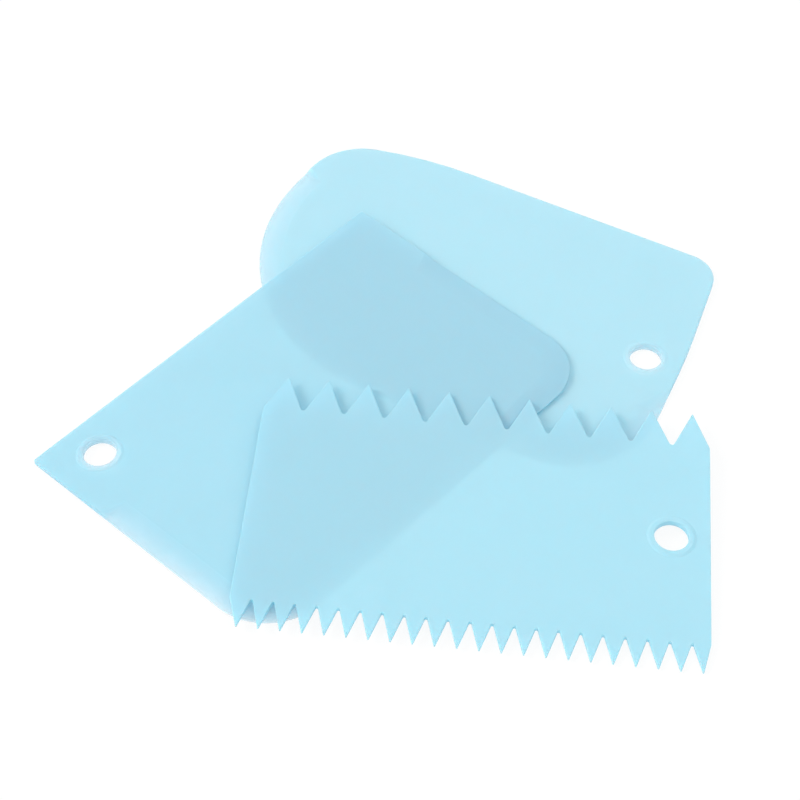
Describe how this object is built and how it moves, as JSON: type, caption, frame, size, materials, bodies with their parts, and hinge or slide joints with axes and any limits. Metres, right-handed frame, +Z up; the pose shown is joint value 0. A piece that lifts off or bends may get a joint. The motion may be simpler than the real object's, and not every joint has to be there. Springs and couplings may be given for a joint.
{
  "type": "icing smoother",
  "caption": "Cake scrapers for smoothing icing, lying in a fan: half-round, straight-edged, and a comb with large and small teeth, in translucent pale blue plastic with hanging holes.",
  "frame": {"origin": "middle of the set's footprint, on the table", "axes": "+Z up from the table, +Y away from the picture's camera, +X to its right"},
  "size_m": [0.1914, 0.193, 0.0054],
  "materials": {
    "half_round_plastic": "smooth translucent pale ice blue, satin",
    "straight_plastic": "smooth translucent pale ice blue, satin",
    "comb_plastic": "smooth translucent pale ice blue, satin"
  },
  "bodies": {
    "half_round": {"half_round_scraper": "half_round_plastic"},
    "straight": {"straight_scraper": "straight_plastic"},
    "comb": {"comb_scraper": "comb_plastic"}
  },
  "joints": [
    {"name": "straight_lift", "type": "slide", "parent": "half_round", "child": "straight", "axis": [0, 0, 1], "range_m": [0, 0.1]},
    {"name": "comb_lift", "type": "slide", "parent": "straight", "child": "comb", "axis": [0, 0, 1], "range_m": [0, 0.1]}
  ]
}
